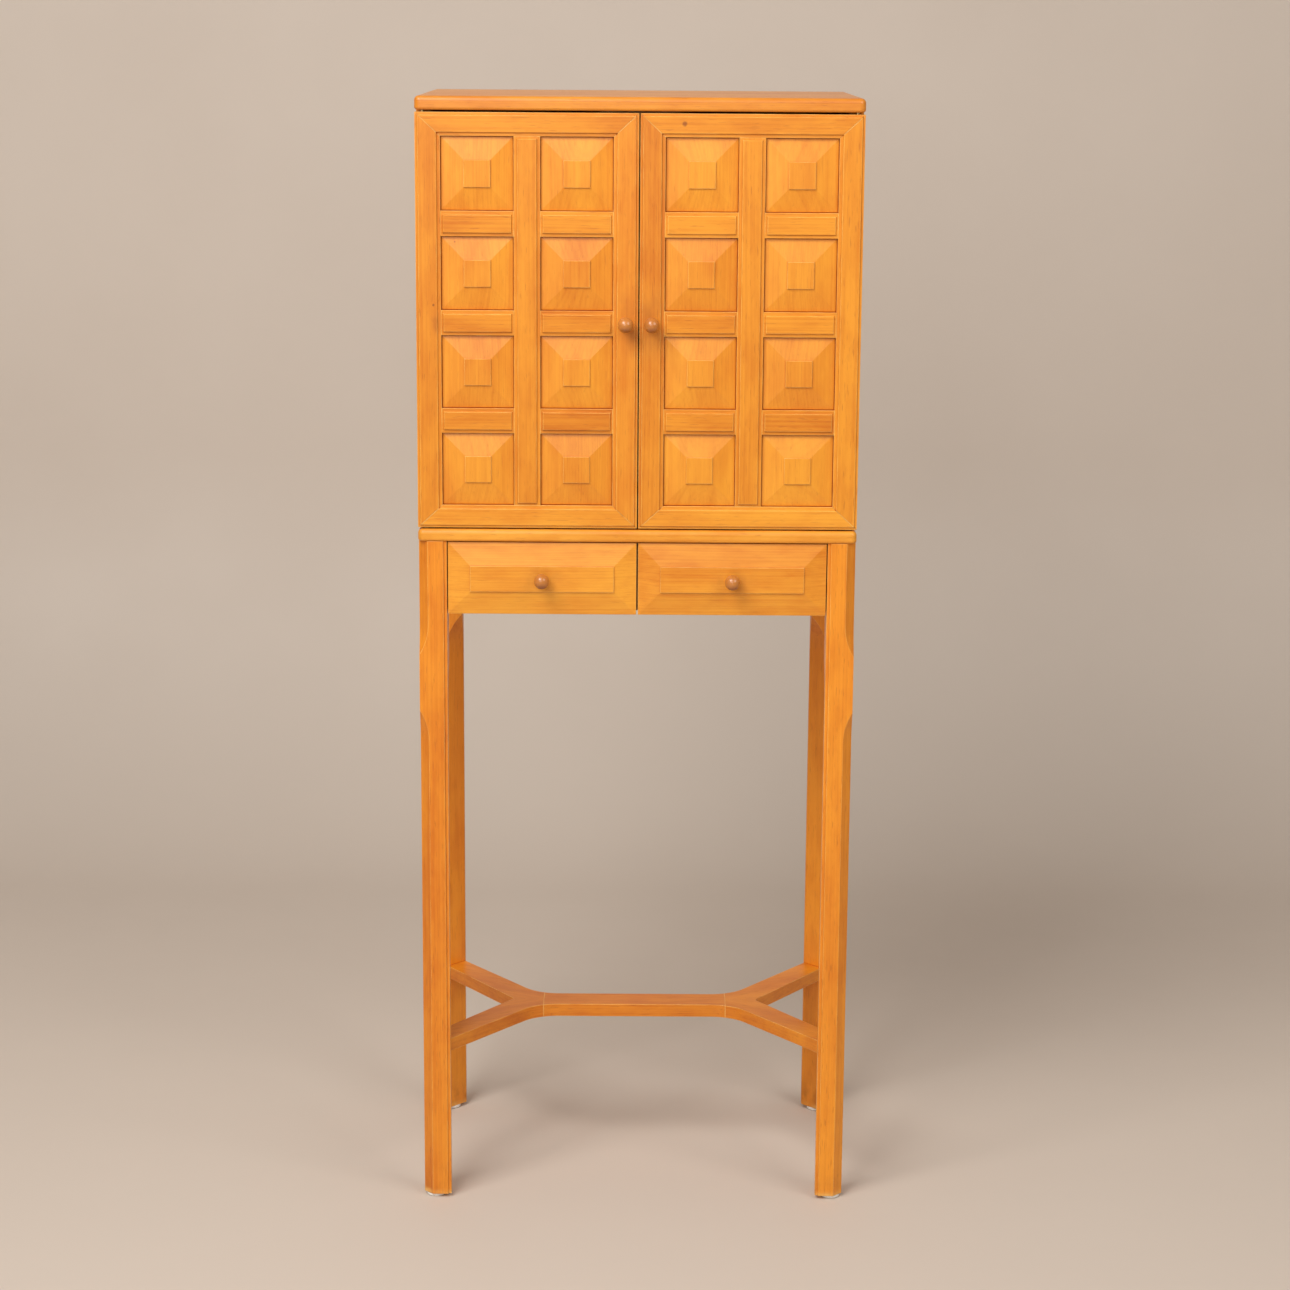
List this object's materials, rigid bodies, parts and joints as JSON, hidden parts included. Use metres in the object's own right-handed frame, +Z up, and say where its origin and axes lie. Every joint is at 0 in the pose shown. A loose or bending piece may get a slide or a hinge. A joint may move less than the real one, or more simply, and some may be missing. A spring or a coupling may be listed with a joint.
{
  "type": "two-door storage cabinet on stand",
  "caption": "Small two-door storage cabinet with fielded panels, on a tall four-legged stand with drawers under the doors and a forked stretcher between the legs.",
  "frame": {"origin": "on the floor under the middle of the whole object, door and drawer knobs included", "axes": "+Z up, the doors and drawers face -Y, +X to the right as seen from the front"},
  "size_m": [0.52, 0.3556, 1.347],
  "materials": {
    "varnished_wood": "satin varnish",
    "plain_wood": "sanded",
    "thin_board": "sanded",
    "knob_wood": "gloss varnish",
    "hinge_brass": "brushed",
    "bright_steel": "bright",
    "white_plastic": "matt"
  },
  "bodies": {
    "cabinet": {"back_panel": "thin_board", "base_board": "varnished_wood", "catch_magnets": "bright_steel", "centre_runner": "plain_wood", "door_stop": "plain_wood", "drawer_divider": "plain_wood", "drawer_kickers": "plain_wood", "fixed_hinge_leaves": "hinge_brass", "left_front_leg": "varnished_wood", "left_rear_leg": "varnished_wood", "left_side_apron": "varnished_wood", "left_side_panel": "varnished_wood", "left_side_runner": "plain_wood", "left_stretcher_fork": "varnished_wood", "leg_glides": "white_plastic", "lower_front_rail": "plain_wood", "rear_apron": "varnished_wood", "right_front_leg": "varnished_wood", "right_rear_leg": "varnished_wood", "right_side_apron": "varnished_wood", "right_side_panel": "varnished_wood", "right_side_runner": "plain_wood", "right_stretcher_fork": "varnished_wood", "shelf": "plain_wood", "shelf_pins": "hinge_brass", "stand_screws": "bright_steel", "stretcher_bar": "varnished_wood", "stretcher_dowels": "plain_wood", "top_board": "varnished_wood", "upper_front_rail": "plain_wood"},
    "left_door": {"left_door_bottom_rail": "varnished_wood", "left_door_cross_rails": "varnished_wood", "left_door_fittings": "hinge_brass", "left_door_inner_stile": "varnished_wood", "left_door_knob": "knob_wood", "left_door_muntin": "varnished_wood", "left_door_outer_stile": "varnished_wood", "left_door_panels": "varnished_wood", "left_door_top_rail": "varnished_wood"},
    "left_drawer": {"left_drawer_back": "plain_wood", "left_drawer_bottom": "thin_board", "left_drawer_front": "varnished_wood", "left_drawer_knob": "knob_wood", "left_drawer_sides": "plain_wood"},
    "right_door": {"right_door_bottom_rail": "varnished_wood", "right_door_cross_rails": "varnished_wood", "right_door_fittings": "hinge_brass", "right_door_inner_stile": "varnished_wood", "right_door_knob": "knob_wood", "right_door_muntin": "varnished_wood", "right_door_outer_stile": "varnished_wood", "right_door_panels": "varnished_wood", "right_door_top_rail": "varnished_wood"},
    "right_drawer": {"right_drawer_back": "plain_wood", "right_drawer_bottom": "thin_board", "right_drawer_front": "varnished_wood", "right_drawer_knob": "knob_wood", "right_drawer_sides": "plain_wood"}
  },
  "joints": [
    {"name": "left_door_hinge", "type": "hinge", "parent": "cabinet", "child": "left_door", "pos_m": [-0.25105, -0.13935, 1.0866], "axis": [0, 0, -1], "range_deg": [0, 95]},
    {"name": "right_door_hinge", "type": "hinge", "parent": "cabinet", "child": "right_door", "pos_m": [0.25105, -0.13935, 1.0866], "axis": [0, 0, 1], "range_deg": [0, 95]},
    {"name": "left_drawer_slide", "type": "slide", "parent": "cabinet", "child": "left_drawer", "axis": [0, -1, 0], "range_m": [0, 0.2]},
    {"name": "right_drawer_slide", "type": "slide", "parent": "cabinet", "child": "right_drawer", "axis": [0, -1, 0], "range_m": [0, 0.2]}
  ]
}
